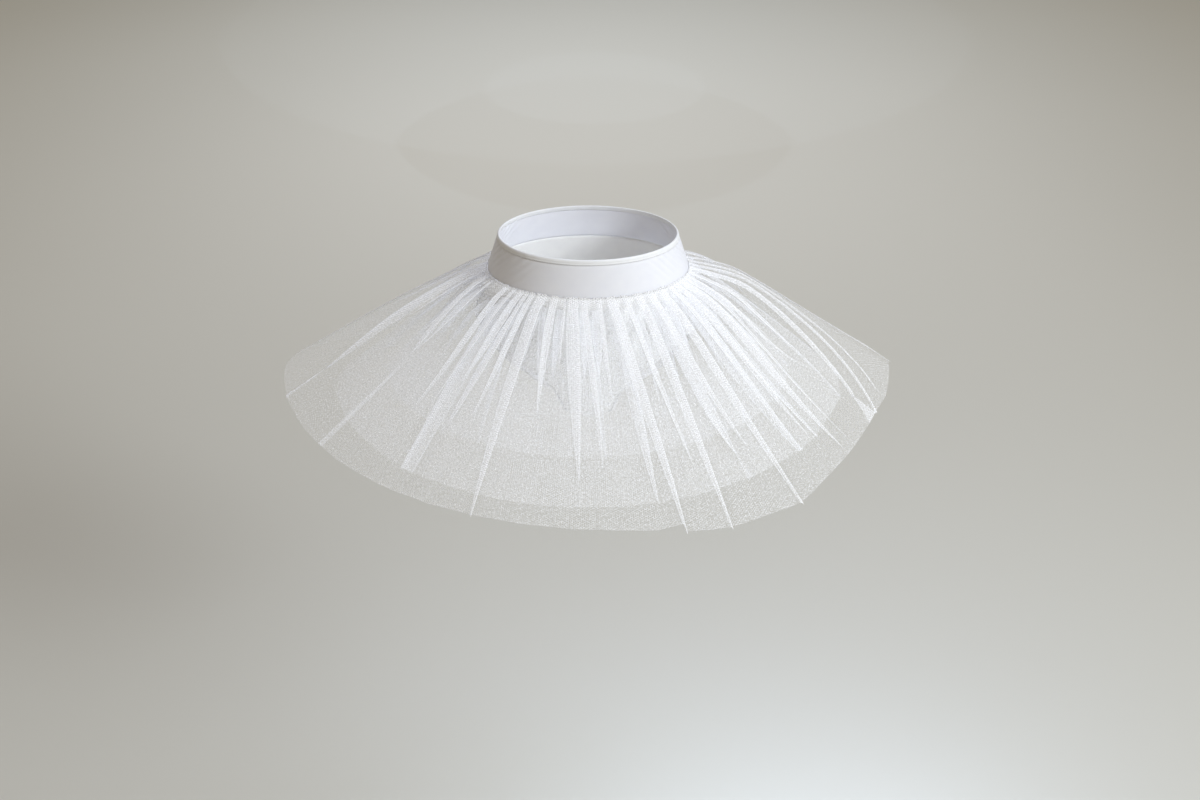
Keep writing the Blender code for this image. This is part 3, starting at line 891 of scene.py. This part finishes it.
class Fall:
    """How one skirt falls: how far out and down the cloth is, at any turn and share of length."""

    def __init__(self, skirt):
        """Adds up the slope along the length, at every third degree of turn."""
        self.skirt = skirt
        self.turns = np.radians(np.arange(-180, 181, 3.0))
        hang = around(SLOPES[skirt.name], self.turns, SLOPE_TURNS)[:, None]
        puff = bow = raised = np.zeros_like(hang)
        length = np.full_like(hang, skirt.length)
        if skirt.name == "top":
            swells = (SLOPES[name] for name in ("puff", "bow", "raised"))
            puff, bow, raised = (around(values, self.turns, SLOPE_TURNS)[:, None] for values in swells)
            length = length * around(HEM, self.turns, HEM_TURNS)[:, None]
        step = length / PROFILE_STEPS
        along = (np.arange(PROFILE_STEPS) + 0.5) * step
        slope = np.radians(hang - (hang - HEAD_SLOPE) * np.exp(-along / HEAD_BEND))
        out, down = add_up(np.cos(slope) * step), add_up(np.sin(slope) * step)
        slope = np.hstack((np.full_like(hang, math.radians(HEAD_SLOPE)), slope))
        share = np.linspace(0, 1, PROFILE_STEPS + 1)
        rising = np.sin(np.minimum(share / PUFF_AT, 1) * math.pi / 2) ** 2
        sinking = (share / PUFF_AT * np.exp(1 - share / PUFF_AT)) ** 1.5
        swell = np.where(share < PUFF_AT, rising, sinking)
        puff = puff * swell + bow * (4 * share * (1 - share)) ** 2
        self.tables = np.stack(np.broadcast_arrays(out, down, slope, puff, raised))

    def read(self, turn, share):
        """The five tables' values between their entries."""
        i = (turn - self.turns[0]) / (self.turns[1] - self.turns[0])
        j = np.maximum(share, 0) * PROFILE_STEPS
        low_i = np.clip(i.astype(int), 0, len(self.turns) - 2)
        low_j = np.clip(j.astype(int), 0, PROFILE_STEPS - 1)
        a, b = i - low_i, j - low_j
        near, far = (
            self.tables[:, low_i, j] * (1 - a) + self.tables[:, low_i + 1, j] * a for j in (low_j, low_j + 1)
        )
        return near * (1 - b) + far * b

    def points(self, turn, share, lift):
        """Points of the cloth, raised off its smooth fall by lift."""
        turn = (turn + math.pi) % math.tau - math.pi
        out, down, slope, puff, raised = self.read(turn, share)
        lift = lift + puff
        rides_up = raised * np.exp(-np.maximum(share, 0) / RAISE_FADE)
        above_head = rides_up - np.minimum(share, 0) * self.skirt.length
        hug = HUG * np.exp(-np.maximum(share, 0) * self.skirt.length / HUG_FADE)
        outward = HEAD_CLEARANCE - hug + out + lift * np.sin(slope)
        z = lift * np.cos(slope) - down - self.skirt.drop - TULLE_WALL
        lean = (BAND_FOOT_HALF_WIDTH - WAIST_HALF_WIDTH) / BAND_DROP
        half_width = figure_half_width(self.skirt.drop)
        return ring_points(half_width, turn, z + above_head, outward - above_head * lean)


for skirt in SKIRTS:
    front = Fall(skirt).points(np.zeros(1), np.ones(1), 0.0)[0]
    print(skirt.name, "hem at centre front:", [round(float(value), 3) for value in front])

# %% [markdown]
# The folds that give the skirts their look are placed one by one, from a table. Each has a turn
# at its head, half way and at its tip, the share of the skirt's length at which it ends, its
# width at the head and the tip in millimetres, and the side to which it is laid. Short folds
# fill the room between them, as unevenly as gathers do.

# %% Placed folds
Fold = namedtuple("Fold", "head middle tip reach width tip_width lean")
PLACED_FOLDS = {
    "top": (
        (-90, -84.5, -81.5, 1.04, 40, 1, -1), (-75, -68.5, -65, 0.6, 12, 1, 1),
        (-66, -65, -66, 0.45, 5, 1, 1), (-51.5, -51, -52, 0.64, 9, 1, -1),
        (-45, -47, -48, 0.62, 6, 1, 1), (-39.5, -41, -43, 0.46, 12, 1, -1),
        (-35.5, -37.8, -40, 0.66, 8, 1, 1), (-31.8, -33, -34.5, 0.6, 8, 1, -1),
        (-26.2, -26.4, -25.6, 1.04, 15, 1, 1), (-18, -16.8, -15.4, 0.53, 10, 1, -1),
        (-12, -11.2, -10.5, 0.3, 4, 1, 1), (-8, -4.4, -2, 0.8, 18, 1, 1),
        (-2.2, 2, 4, 0.74, 9, 1, 1), (6.2, 7, 8, 0.45, 6, 1, 1),
        (12.5, 18.6, 21.5, 1.05, 14, 2, 1), (20.8, 24.6, 27.5, 0.74, 8, 1, -1),
        (28.6, 30.4, 31.1, 1.04, 12, 1, 1), (36, 39, 42.5, 0.72, 10, 1, 1),
        (44, 46, 47.6, 1.04, 11, 2, 1), (52, 52.4, 53, 0.56, 9, 1, -1),
        (57.5, 57, 58, 0.82, 10, 1, 1), (64, 62.2, 62.8, 0.97, 12, 1, 1),
        (69.5, 66, 65.4, 0.97, 5, 1, -1), (74.5, 69.5, 71.5, 0.62, 6, 1, 1),
        (81, 76, 74.5, 0.56, 10, 1, -1), (88.5, 81.8, 70.9, 1.04, 10, 1, 1),
        (96, 88, 73.8, 1.04, 7, 2, 1), (103, 93.5, 80.6, 0.95, 6, 1, 1),
        (109, 103, 93, 1.03, 12, 1, -1), (149, 150, 151, 1.02, 14, 1, 1),
        (173, 172, 171, 1.02, 15, 2, -1), (-161, -159, -158, 1.04, 13, 2, 1),
        (-127, -125, -124, 1.02, 16, 1, -1), (-109, -105, -102, 1.04, 14, 1, 1),
    ),
    "middle": (
        (-47, -48.6, -49.4, 1.06, 22, 18, -1), (-36, -41.6, -44.6, 0.7, 10, 1, -1),
        (-24, -19, -16.9, 0.55, 10, 1, 1), (13.2, 16.4, 18.7, 1.02, 16, 1, 1),
        (37, 40, 45, 1.04, 18, 13, -1), (55.5, 57.2, 60.6, 1.06, 22, 4, 1),
        (64, 65, 67, 1.04, 16, 2, -1), (92, 88, 82, 1.02, 8, 2, 1),
        (104, 105, 106, 1.02, 16, 6, 1), (142, 141.5, 141, 1.02, 15, 2, -1),
        (-146, -148, -149, 1.02, 15, 2, 1), (-112, -113, -114, 1.02, 16, 6, 1),
    ),
    "lower": (
        (-36.8, -37.2, -36.1, 1.04, 11, 2, 1), (1, 4, 6.2, 1.06, 10, 1, -1),
        (80, 82, 86, 0.9, 10, 1, -1), (127, 128, 129, 1.02, 13, 2, 1),
        (-133, -132, -131, 1.02, 13, 2, -1),
    ),
}
print({name: len(rows) for name, rows in PLACED_FOLDS.items()}, "folds placed")

# %% Short folds between them
PLAIN_GAPS = {  # turns between which no short fold begins
    "top": ((-65, -53.5), (7, 10), (15, 19.5), (31, 34)),
    "middle": ((-67, -52), (-14, -9), (20, 26)),
    "lower": (),
}
CLEAR = 0.72  # of the pitch that is kept clear beside a placed fold
SWAY = 0.3  # share of the pitch by which a head stands off its even place
DRIFT = 1.5  # degrees from head to middle, at most
LAID_BACK = 0.4  # share of the short folds
SHORT_REACH, REACH_SPREAD = 0.52, 0.2
SHORT_WIDTH, WIDTH_SPREAD = 0.0105, 0.003


def folds_of(skirt, rng):
    """A skirt's folds in order of turn: the placed ones, and short ones in the room between."""
    pitch = 360 / skirt.folds
    placed = [Fold(*row) for row in PLACED_FOLDS[skirt.name]]
    folds = [fold._replace(width=fold.width / 1000, tip_width=fold.tip_width / 1000) for fold in placed]
    for number in range(skirt.folds):
        sway, drift, longer, wider = rng.uniform(-1, 1, 4)
        lean = 1 if rng.random() > LAID_BACK else -1
        head = -180 + (number + 0.5 + SWAY * sway) * pitch
        if any(abs(head - fold.head) < CLEAR * pitch for fold in placed):
            continue
        if any(low < head < high for low, high in PLAIN_GAPS[skirt.name]):
            continue
        drift *= DRIFT
        reach, width = SHORT_REACH + REACH_SPREAD * longer, SHORT_WIDTH + WIDTH_SPREAD * wider
        folds.append(Fold(head, head + drift, head + 1.4 * drift, reach, width, 0.0, lean))
    return sorted(folds, key=lambda fold: fold.head)


counts = {skirt.name: len(folds_of(skirt, np.random.default_rng(skirt.seed))) for skirt in SKIRTS}
print(counts, "folds in all")

# %% [markdown]
# Across a fold the cloth rises over the flap, turns under at the outer crease, comes back, and
# turns again at the inner crease. The table gives that path as shares of the fold's width and
# height. Creases are marked, so that the material makes the net whiter there: partly its
# doubled threads, partly a painted highlight. The single net right beside each fold is marked
# the other way, so that it shows less: a painted shadow along the fold.

# %% Path across a fold
Bend = namedtuple("Bend", "along edge height crease inside")
# crease whitens the net, partly as a painted highlight, and its negative ends are a painted shadow beside
# the fold; inside marks the nets under the flap, which are thinned as painted shade
FOLD_PATH = (
    Bend(-0.62, 0.0, 0.00, -0.15, 0),
    Bend(-0.42, 0.0, 0.70, 0.1, 1),
    Bend(0.50, -1.0, 1.00, 0.0, 1),
    Bend(0.50, -0.4, 0.98, 0.9, 1),
    Bend(0.50, 0.0, 0.88, 1.0, 0),
    Bend(0.50, -0.4, 0.78, 0.9, 1),
    Bend(-0.48, 0.8, 0.42, 0.0, 1),
    Bend(-0.48, 0.0, 0.30, 0.7, 0),
    Bend(-0.48, 0.8, 0.16, 0.0, 1),
    Bend(0.50, -0.8, 0.05, 0.0, 1),
    Bend(0.62, 0.0, 0.00, -0.25, 0),
)
FLAT_COLUMNS = 4  # of cloth between two folds
PANEL_COLUMNS = len(FOLD_PATH) + FLAT_COLUMNS
print(PANEL_COLUMNS, "columns from one fold to the next")

# %% One fold's width and turn
TAPER_FROM = 0.42  # share of its reach at which a fold begins to narrow
HEAD_WIDTH = 0.85  # of a fold's full width, which it has from FULL_WIDTH_AT on
FULL_WIDTH_AT = 0.12


def fold_width(fold, run):
    """Width of a fold along its length: nearly even half way, then drawn to a point."""
    along = run / fold.reach
    taper = np.clip((1 - along) / (1 - TAPER_FROM), 0, 1)
    taper = taper * (1.35 - 0.35 * taper)
    swell = HEAD_WIDTH + (1 - HEAD_WIDTH) * np.clip(run / FULL_WIDTH_AT, 0, 1)
    width = fold.tip_width + (fold.width - fold.tip_width) * taper * swell
    return np.where(along < 1, width, 0.0)


def fold_turn(fold, run):
    """Turn of a fold's middle along its length, in radians."""
    along = np.minimum(run / fold.reach, 1)
    to_head, to_middle = (along - 0.5) * (along - 1) * 2, along * (1 - along) * 4
    to_tip = along * (along - 0.5) * 2
    return np.radians(to_head * fold.head + to_middle * fold.middle + to_tip * fold.tip)


# %% [markdown]
# Gathers crowd each other near the waist. If folds overlapped there, the net would cut through
# itself, so each one is narrowed until it and its neighbours fit on the ring.

# %% Folds round a skirt
SMALL_TURN = 0.01  # radians to each side, over which the ring is measured
LEAST_GAP = 0.001  # radians between two folds
SPARE = 0.02  # of a fold's width, kept free beside it


def wrap_round(rows):
    """Adds the last fold before the first and the first after the last, a whole turn away."""
    return np.vstack((rows[-1:] - math.tau, rows, rows[:1] + math.tau))


def spread_folds(fall, folds, run):
    """Each fold's middle and width along its length, and the metres in a radian there. Folds give
    way to each other where they haven't enough room."""
    centre = wrap_round(np.array([fold_turn(fold, run) for fold in folds]))
    own = centre[1:-1]
    shares = np.broadcast_to(run, own.shape)
    there, here = (fall.points(own + sign * SMALL_TURN, shares, 0.0) for sign in (1, -1))
    per_radian = np.linalg.norm(there - here, axis=-1) / (2 * SMALL_TURN)
    room = np.maximum(np.diff(centre, axis=0), LEAST_GAP)[1:] * per_radian
    width = np.array([fold_width(fold, run) for fold in folds])
    wanted = (width + np.roll(width, -1, axis=0)) * (FOLD_PATH[-1].along + SPARE)
    squeeze = np.minimum(1, room / np.maximum(wanted, 1e-6))
    return centre, width * np.minimum(squeeze, np.roll(squeeze, 1, axis=0)), per_radian


# %% [markdown]
# The grid is laid fold by fold: the Z's eleven columns, and then four for the single net up to the
# next fold. Small seeded ripples keep the net from looking ironed.

# %% Columns of net
EDGE_WIDTH, EDGE_SHARE = 0.0028, 0.35  # of the net that is pressed flat beside a crease
FOLD_HEIGHT, HIGHEST_FOLD = 0.26, 0.0048  # over its width, and at most
REAL_WIDTH = 0.002  # a narrower fold is only part way there
GATHER_DROP = 0.013  # from the head to the second row of gathering
PINCH, PINCH_FADE = 0.65, 0.004  # how flat that row presses a fold, and how soon it recovers
GATHER_RIPPLE, GATHER_FADE = 0.0007, 0.05
HEM_RIPPLE = 0.0030
HEM_STEP = 0.011  # how much further a flap hangs than the cloth under it, over the length
PAINTED_FOLD_SHADE, THINNER_BY = 0.16, 0.35  # how much less the nets inside a fold show, away from the gathers: painted shade inside the fold
PAINTED_GAP_SHADE, SPARSE_FADE = 0.30, 0.28  # how much less the net between two folds shows near the gathers: painted shade between the folds
GATHERS_END, SPARSE_AT_HEAD = 0.1, 0.3  # share of the length, and share of PAINTED_GAP_SHADE


def lay_columns(skirt, folds, run, centre, width, per_radian, rng):
    """The turn, lift, crease and step of every point: each fold, and the flat net after it."""
    reach, edge = width / per_radian, np.minimum(EDGE_WIDTH, EDGE_SHARE * width) / per_radian
    gather, hem = GATHER_RIPPLE * np.exp(-run / GATHER_FADE), HEM_RIPPLE * run**2
    level = hem * rng.uniform(-1, 1, (len(folds), 1))
    below = np.maximum(run * skirt.length - GATHER_DROP, 0)
    pinch = 1 - PINCH * np.exp(-((below / PINCH_FADE) ** 2))
    fold_shade = PAINTED_FOLD_SHADE * skirt.crease**2 * np.clip((run - GATHERS_END) / THINNER_BY, 0, 1)
    fade = np.exp(-((np.maximum(run - GATHERS_END, 0) / SPARSE_FADE) ** 2))
    gap_shade = -PAINTED_GAP_SHADE * np.clip(run / GATHERS_END, SPARSE_AT_HEAD, 1) * fade
    columns = []
    for number, fold in enumerate(folds):
        real = np.clip(width[number] / REAL_WIDTH, 0, 1)
        rise = np.minimum(width[number], HIGHEST_FOLD / FOLD_HEIGHT) * FOLD_HEIGHT * pinch
        for bend in FOLD_PATH[:: fold.lean]:
            beside = bend.along * reach[number] + bend.edge * edge[number]
            turn = centre[number + 1] + beside * fold.lean
            crease = (bend.crease * skirt.crease - fold_shade * bend.inside) * real
            step = HEM_STEP * bend.height**2 * run * real
            columns.append((turn, rise * bend.height + level[number], crease, step))
        after = (number + 1) % len(folds)
        first, last = turn, centre[number + 2] + FOLD_PATH[0].along * reach[after]
        for flat in range(1, FLAT_COLUMNS + 1):
            part = flat / (FLAT_COLUMNS + 1)
            ripple = gather * rng.uniform(-1, 1) + 0.5 * hem * rng.uniform(-1, 1)
            lift = level[number] * (1 - part) + level[after] * part + ripple
            columns.append((first + (last - first) * part, lift, gap_shade, 0 * run))
    return np.array(columns).transpose(1, 2, 0)


# %% [markdown]
# A hem of even round waves looks like card. Real net hangs in nearly straight runs between the
# folds that reach the hem, so it is drawn most of the way towards straight lines between them.
# At the head the threads are doubled along the stitching.

# %% Head and hem
NOTCH_FROM, NOTCH_TO, NOTCH_DEPTH = 15.0, 21.4, 0.030  # degrees, and share of the length
HEAD_CREASE, HEAD_FADE = 0.8, 0.0015
STRIP_CREASE, STRIP_FOLDS = 0.30, 0.3  # between the two rows of gathering: even, and from its folds
PAINTED_HEAD_SHADE, HIDDEN_FADE = 0.30, 0.07  # how much less a covered head shows: painted shade under the top skirt


def draw_up(turns, run):
    """The hem draws up towards one long fold, and drops back at its edge."""
    degrees = np.degrees(np.mod(turns + math.pi, math.tau) - math.pi)
    to_notch = np.clip((degrees - NOTCH_FROM) / (NOTCH_TO - NOTCH_FROM), 0, 1)
    return NOTCH_DEPTH * to_notch * (degrees < NOTCH_TO) * run[:, None] ** 3


def crease_head(skirt, creases, share):
    """Doubles the threads at the stitching. Below it, evens out the top skirt's strip, and thins the other
    skirts' covered net as painted shade under the top skirt.
    """
    down = np.maximum(share[:, None], 0) * skirt.length
    creases = creases + HEAD_CREASE * np.exp(-down / HEAD_FADE)
    if skirt.name == "top":
        return np.where(down < GATHER_DROP, STRIP_FOLDS * creases + STRIP_CREASE, creases)
    return creases - PAINTED_HEAD_SHADE * np.exp(-((down / HIDDEN_FADE) ** 2))


# %% Straight runs
WIDEST_FACET = math.radians(11)  # furthest turn over which the net is straight
FACET = 0.7  # how straight the cloth is drawn between the folds that reach the hem


def draw_straight(fall, points, turns, share, posts):
    """Draws the net tight between posts, which are the long folds and places between them."""
    filled = []
    for this, following in zip(posts, np.vstack((posts[1:], posts[:1] + math.tau))):
        parts = max(1, round((following[-1] - this[-1]) / WIDEST_FACET))
        filled += [this + (following - this) * part / parts for part in range(parts)]
    posts = wrap_round(np.array(filled))
    smooth = fall.points(turns, np.broadcast_to(share[:, None], turns.shape), 0.0)
    run = np.clip(share, 0, 1)
    for i, pull in enumerate(FACET * run**1.5):
        corners = fall.points(posts[:, i], np.full(len(posts), run[i]), 0.0)
        along = np.mod(turns[i] - posts[0, i], math.tau) + posts[0, i]
        for axis in range(3):
            straight = np.interp(along, posts[:, i], corners[:, axis])
            points[i, :, axis] += pull * (straight - smooth[i, :, axis])


# %% [markdown]
# A thread is round, so net is lit nearly alike whichever way it faces. Plain smooth shading would
# make the folds look like plaster, so every face's normal is turned most of the way to one shared
# tilt. Places on the flat net are counted from each fold's middle, so that the holes keep their
# size all round.

# %% How net takes light
OWN_TILT = 0.35  # how much a face's own tilt counts in how it takes the light
EVEN_UP, EVEN_OUT = 0.95, 0.15  # the tilt that all faces share


def even_out_normals(piece):
    """Threads take light from all round, so net shades less with its tilt than a solid cloth."""
    mesh = piece.data
    normals = []
    for face in mesh.polygons:
        x, y, _ = face.center
        outward = Vector((x, y / DEPTH_RATIO**2, 0)).normalized()
        even = Vector((0, 0, EVEN_UP)) + outward * EVEN_OUT
        side = 1 if face.normal.dot(even) > 0 else -1
        normals += [(even * side + face.normal * OWN_TILT).normalized()] * face.loop_total
    mesh.normals_split_custom_set(normals)


# %% Places on the flat net
def net_places(points, along):
    """Places on the flat net for each face corner, measured from the nearest fold's middle."""
    columns = points.shape[1]
    across = add_up(np.linalg.norm(np.diff(points, axis=1, append=points[:, :1]), axis=2))
    panel = (np.arange(columns) + FLAT_COLUMNS // 2) // PANEL_COLUMNS
    panel = np.minimum(panel, columns // PANEL_COLUMNS - 1)
    origin = across[:, panel * PANEL_COLUMNS + len(FOLD_PATH) // 2]
    near, far = across[:, :-1] - origin, across[:, 1:] - origin
    v = np.broadcast_to(along[:, None], near.shape)
    corners = ((near[:-1], v[:-1]), (near[1:], v[1:]), (far[1:], v[1:]), (far[:-1], v[:-1]))
    return np.stack([np.stack(corner, axis=-1) for corner in corners], axis=2).reshape(-1, 2)


# %% The three skirts
ROW_POWER = 1.25  # rows lie closer together near the head
HEADING_ROWS, HEADING_RUFFLE = (-0.010, -0.004), 0.0012  # above the top skirt's stitching
LONG_REACH = 0.9  # folds that reach further than this hold the hem
MERGE = 0.00006  # columns closer than this become one


def make_skirt(skirt):
    """One skirt, from the spread of its folds to its cloth."""
    rng = np.random.default_rng(skirt.seed)
    fall, folds = Fall(skirt), folds_of(skirt, rng)
    share = np.linspace(0, 1, skirt.rows) ** ROW_POWER
    if skirt.name == "top":
        share = np.concatenate((HEADING_ROWS, share))
    run = np.clip(share, 0, 1)
    centre, width, per_radian = spread_folds(fall, folds, run)
    turns, lifts, creases, steps = lay_columns(skirt, folds, run, centre, width, per_radian, rng)
    shares = share[:, None] + steps
    if skirt.name == "top":
        shares = shares - draw_up(turns, run)
    points = fall.points(turns, shares, lifts)
    long_ones = np.array([fold.reach > LONG_REACH for fold in folds])
    draw_straight(fall, points, turns, share, centre[1:-1][long_ones])
    if skirt.name == "top":
        points[0, :, 2] += HEADING_RUFFLE * rng.uniform(-1, 1, points.shape[1])

    places = net_places(points, share * skirt.length)
    piece = grid_piece(f"{skirt.name}_skirt", points, TULLE, places, closed=True)
    mark = piece.data.attributes.new("crease", "FLOAT", "POINT")
    mark.data.foreach_set("value", crease_head(skirt, creases, share).astype(np.float32).ravel())
    hem_length = loop_steps(points[-1]).sum()
    weld(piece, MERGE)
    even_out_normals(piece)
    print(len(folds), "folds,", round(hem_length, 2), "m of net along the hem")
    declare(
        piece, "tulle", [f"{skirt.name}_skirt_front", f"{skirt.name}_skirt_back"],
        held="gathered", rests_on=["waistband_knit"], flat=(round(float(hem_length), 2), skirt.length),
    )


for skirt in SKIRTS:
    make_skirt(skirt)

# %% [markdown]
# A second row of gathering runs round the top skirt 13 mm below its head, and presses its folds
# flat. Its stitches lie on the net.

# %% Gather stitches
STITCH_TURN, STITCH_HALF = math.radians(1.6), 0.36  # pitch, and share of it to each side
STITCH_LIFT = 0.0010


def gather_stitches():
    """Segments for a row of stitches round the top skirt."""
    fall = Fall(SKIRTS[0])
    turns = np.arange(-math.pi, math.pi - STITCH_TURN / 2, STITCH_TURN)
    share = np.full_like(turns, GATHER_DROP / SKIRTS[0].length)
    half = STITCH_TURN * STITCH_HALF
    starts, ends = (fall.points(turns + side * half, share, STITCH_LIFT) for side in (-1, 1))
    ups = fall.points(turns, share, 1.0) - fall.points(turns, share, 0.0)
    return list(zip(starts, ends, ups / np.linalg.norm(ups, axis=1, keepdims=True)))


make_stitches("gather_stitches", gather_stitches(), thickness=0.0004, slot="tulle")
